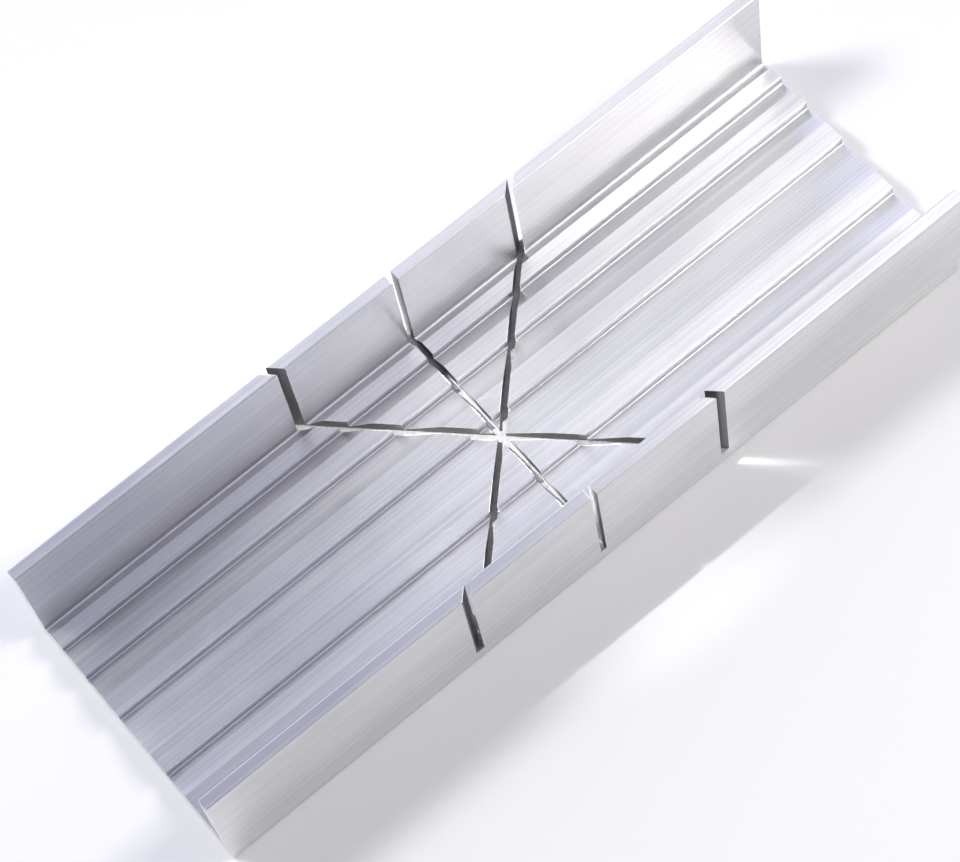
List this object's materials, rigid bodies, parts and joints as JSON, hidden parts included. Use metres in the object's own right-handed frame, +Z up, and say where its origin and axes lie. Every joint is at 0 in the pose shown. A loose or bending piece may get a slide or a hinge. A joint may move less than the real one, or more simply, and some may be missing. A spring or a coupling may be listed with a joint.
{
  "type": "miter box",
  "caption": "Small aluminium mitre box: an open-top U-channel with a grooved floor and straight and angled saw slots through both walls.",
  "frame": {"origin": "middle of the underside, where the box stands on the bench", "axes": "+X along the channel, +Y towards the back wall, which stands beside the narrow grooves, +Z up out of the open top"},
  "size_m": [0.145, 0.0486, 0.0254],
  "materials": {
    "aluminium": "mill-finish extruded aluminium, satin, with fine die lines along its length"
  },
  "bodies": {
    "root": {"mitre_box_channel": "aluminium"}
  },
  "joints": []
}
